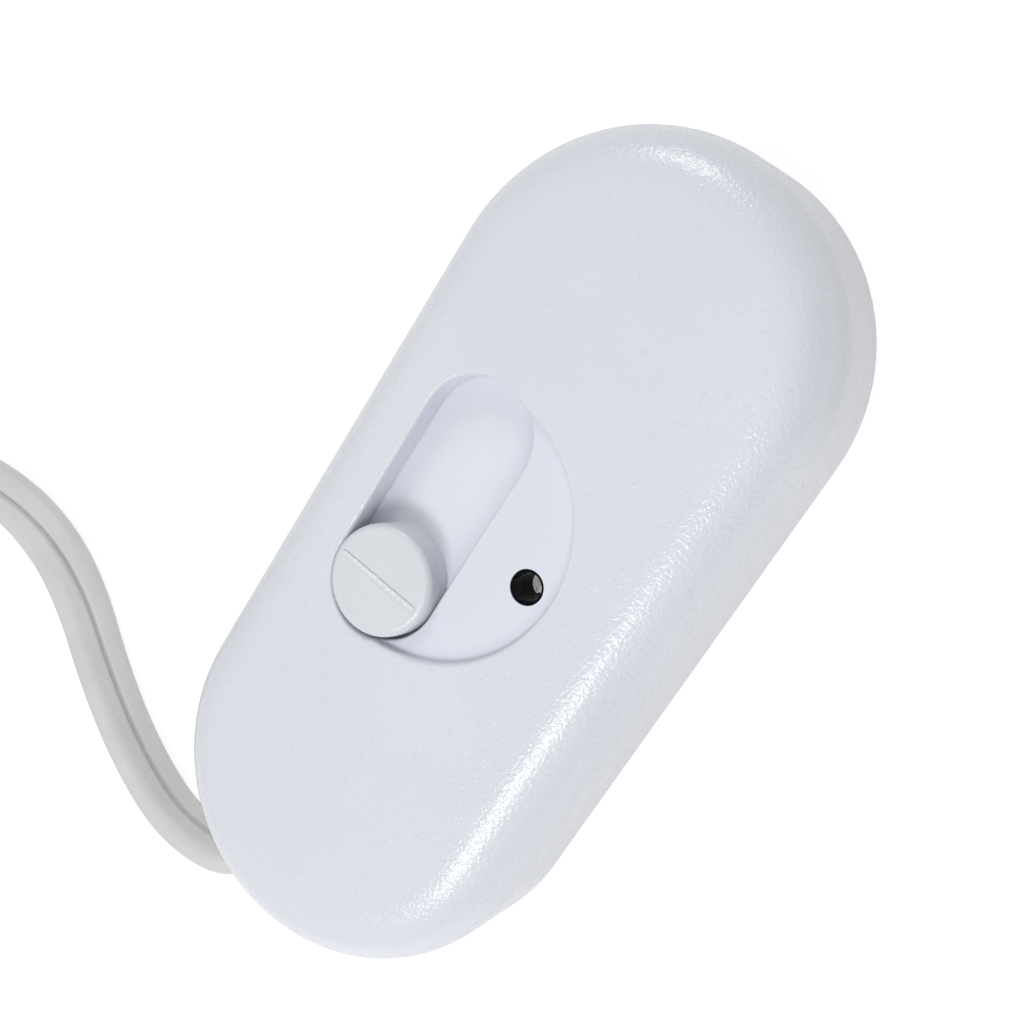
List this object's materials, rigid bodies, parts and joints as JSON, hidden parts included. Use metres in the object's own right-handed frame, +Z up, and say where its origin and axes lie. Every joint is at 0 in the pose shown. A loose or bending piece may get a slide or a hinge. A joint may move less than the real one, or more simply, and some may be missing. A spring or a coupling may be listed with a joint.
{
  "type": "plug-in slide dimmer",
  "caption": "Rounded table-top lamp dimmer with a slide knob in a thumb recess, a trim adjuster and a flat cord ending in a piggyback plug.",
  "frame": {"origin": "centre of the base on the surface that the case stands on, measured without the cord", "axes": "+X along the case, away from its cord; +Y towards the slide knob's side; +Z up"},
  "size_m": [0.1588, 0.2458, 0.0252],
  "materials": {
    "case_white": "fine pebble texture, semi-gloss",
    "knob_white": "satin",
    "sleeve_black": "matt",
    "rotor_grey": "matt",
    "board_green": "lacquered",
    "plated_steel": "zinc plated",
    "track_brown": "pressed board",
    "sink_aluminium": "mill finish",
    "epoxy_black": "moulded epoxy",
    "ferrite_grey": "powder coated",
    "copper_wire": "enamelled copper",
    "cap_red": "dipped",
    "resistor_tan": "lacquered",
    "glass_body": "sealed glass",
    "fuse_body": "ceramic",
    "cord_vinyl": "soft vinyl, semi-matt",
    "tie_white": "paper over wire",
    "plug_vinyl": "moulded vinyl",
    "blade_brass": "bright"
  },
  "bodies": {
    "case": {"top_cover": "case_white", "base_cover": "case_white", "case_screws": "plated_steel", "circuit_board": "board_green", "fader_frame": "plated_steel", "fader_track": "track_brown", "trim_body": "sleeve_black", "trim_sleeve": "sleeve_black", "heat_sink": "sink_aluminium", "triac_body": "epoxy_black", "triac_tab": "plated_steel", "triac_screw": "plated_steel", "choke_core": "ferrite_grey", "choke_winding": "copper_wire", "capacitors": "cap_red", "resistors": "resistor_tan", "trigger_diode": "glass_body", "fuse": "fuse_body", "lead_wires": "cord_vinyl", "cord_inner": "cord_vinyl", "cord_clamp": "epoxy_black", "clamp_screws": "plated_steel", "cord_tube": "cord_vinyl", "cord_coil": "cord_vinyl", "cord_end": "cord_vinyl", "cord_tie": "tie_white", "plug_body": "plug_vinyl", "blade_narrow": "blade_brass", "blade_wide": "blade_brass", "contact_narrow": "blade_brass", "contact_wide": "blade_brass"},
    "slider": {"slider_knob": "knob_white", "slider_shutter": "knob_white", "fader_carriage": "epoxy_black", "fader_wiper": "blade_brass"},
    "trim": {"trim_rotor": "rotor_grey"}
  },
  "joints": [
    {"name": "slide", "type": "slide", "parent": "case", "child": "slider", "axis": [1, 0, 0], "range_m": [0, 0.0212]},
    {"name": "trim_turn", "type": "hinge", "parent": "case", "child": "trim", "pos_m": [0.0023, -0.0072, 0.0154], "axis": [0, 0, 1], "range_deg": [-135, 135]}
  ]
}
